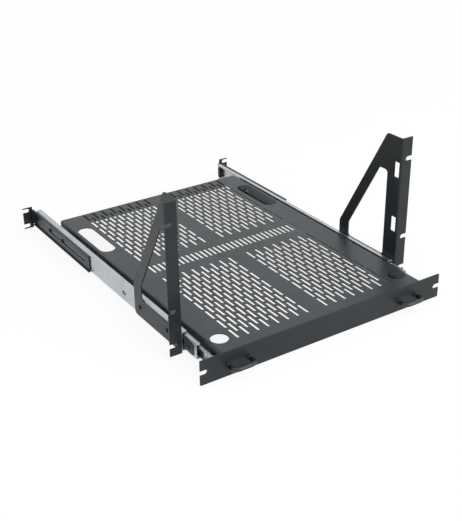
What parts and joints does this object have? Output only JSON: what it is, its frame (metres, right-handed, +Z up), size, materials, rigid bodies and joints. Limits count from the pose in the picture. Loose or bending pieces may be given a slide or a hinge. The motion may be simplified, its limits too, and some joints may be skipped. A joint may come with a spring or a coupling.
{
  "type": "sliding rack shelf",
  "caption": "Vented one-unit shelf tray with front panel and bow handles, on ball-bearing slides held by tall triangular front brackets and depth-adjustable rear brackets.",
  "frame": {"origin": "middle of the front rack rails' plane, at the base of the lowest rack unit", "axes": "+X to the right across the rack, +Y to the rear of the rack, +Z up"},
  "size_m": [0.4826, 0.6863, 0.2659],
  "materials": {
    "tray_paint": "satin",
    "panel_paint": "satin",
    "bracket_paint": "satin",
    "handle_paint": "semi-gloss",
    "zinc_plate": "satin",
    "ball_steel": "polished",
    "cage_steel": "satin",
    "fastener_zinc": "satin",
    "fastener_black": "satin",
    "black_plastic": "matte",
    "black_rubber": "matte"
  },
  "bodies": {
    "rack_side": {"front_bracket_left": "bracket_paint", "front_bracket_right": "bracket_paint", "slide_outer_left": "zinc_plate", "slide_outer_right": "zinc_plate", "bracket_screws_left": "fastener_black", "bracket_screws_right": "fastener_black", "bracket_nuts_left": "fastener_black", "bracket_nuts_right": "fastener_black", "clamp_bolts_left": "fastener_black", "clamp_bolts_right": "fastener_black", "clamp_nuts_left": "fastener_black", "clamp_nuts_right": "fastener_black", "rear_bumper_left": "black_rubber", "rear_bumper_right": "black_rubber"},
    "shelf": {"tray": "tray_paint", "tray_skirt_left": "tray_paint", "tray_skirt_right": "tray_paint", "tray_front_flange": "tray_paint", "tray_rear_flange": "tray_paint", "front_panel": "panel_paint", "handle_left": "handle_paint", "handle_right": "handle_paint", "handle_screws": "fastener_zinc", "panel_studs": "fastener_zinc", "panel_nuts": "fastener_zinc", "slide_inner_left": "zinc_plate", "slide_inner_right": "zinc_plate", "slide_screws_left": "fastener_zinc", "slide_screws_right": "fastener_zinc", "slide_nuts_left": "fastener_zinc", "slide_nuts_right": "fastener_zinc", "lever_rivet_left": "fastener_zinc", "lever_rivet_right": "fastener_zinc"},
    "middle_left": {"slide_middle_left": "zinc_plate", "stop_pad_left": "black_plastic"},
    "outer_cage_left": {"outer_cage_left": "cage_steel", "outer_balls_left": "ball_steel"},
    "inner_cage_left": {"inner_cage_left": "cage_steel", "inner_balls_left": "ball_steel"},
    "lever_left": {"release_lever_left": "black_plastic"},
    "rear_bracket_left": {"rear_bracket_left": "bracket_paint"},
    "middle_right": {"slide_middle_right": "zinc_plate", "stop_pad_right": "black_plastic"},
    "outer_cage_right": {"outer_cage_right": "cage_steel", "outer_balls_right": "ball_steel"},
    "inner_cage_right": {"inner_cage_right": "cage_steel", "inner_balls_right": "ball_steel"},
    "lever_right": {"release_lever_right": "black_plastic"},
    "rear_bracket_right": {"rear_bracket_right": "bracket_paint"}
  },
  "joints": [
    {"name": "shelf_slide", "type": "slide", "parent": "rack_side", "child": "shelf", "axis": [0, -1, 0], "range_m": [-0.086, 0.464]},
    {"name": "middle_slide_left", "type": "slide", "parent": "rack_side", "child": "middle_left", "axis": [0, -1, 0], "range_m": [-0.043, 0.232]},
    {"name": "outer_cage_roll_left", "type": "slide", "parent": "rack_side", "child": "outer_cage_left", "axis": [0, -1, 0], "range_m": [-0.0215, 0.116]},
    {"name": "inner_cage_roll_left", "type": "slide", "parent": "rack_side", "child": "inner_cage_left", "axis": [0, -1, 0], "range_m": [-0.0645, 0.348]},
    {"name": "release_lever_tilt_left", "type": "hinge", "parent": "shelf", "child": "lever_left", "pos_m": [-0.2079, 0.21127, 0.0222], "axis": [1, 0, 0], "range_deg": [-8, 8], "stiffness_Nm_per_rad": 0.02},
    {"name": "rear_depth_left", "type": "slide", "parent": "rack_side", "child": "rear_bracket_left", "axis": [0, 1, 0], "range_m": [0, 0.095]},
    {"name": "middle_slide_right", "type": "slide", "parent": "rack_side", "child": "middle_right", "axis": [0, -1, 0], "range_m": [-0.043, 0.232]},
    {"name": "outer_cage_roll_right", "type": "slide", "parent": "rack_side", "child": "outer_cage_right", "axis": [0, -1, 0], "range_m": [-0.0215, 0.116]},
    {"name": "inner_cage_roll_right", "type": "slide", "parent": "rack_side", "child": "inner_cage_right", "axis": [0, -1, 0], "range_m": [-0.0645, 0.348]},
    {"name": "release_lever_tilt_right", "type": "hinge", "parent": "shelf", "child": "lever_right", "pos_m": [0.2079, 0.21127, 0.0222], "axis": [1, 0, 0], "range_deg": [-8, 8], "stiffness_Nm_per_rad": 0.02},
    {"name": "rear_depth_right", "type": "slide", "parent": "rack_side", "child": "rear_bracket_right", "axis": [0, 1, 0], "range_m": [0, 0.095]}
  ],
  "couplings": [
    {"joint": "middle_slide_left", "follows": "shelf_slide", "ratio": 0.5},
    {"joint": "outer_cage_roll_left", "follows": "shelf_slide", "ratio": 0.25},
    {"joint": "inner_cage_roll_left", "follows": "shelf_slide", "ratio": 0.75},
    {"joint": "middle_slide_right", "follows": "shelf_slide", "ratio": 0.5},
    {"joint": "outer_cage_roll_right", "follows": "shelf_slide", "ratio": 0.25},
    {"joint": "inner_cage_roll_right", "follows": "shelf_slide", "ratio": 0.75}
  ]
}
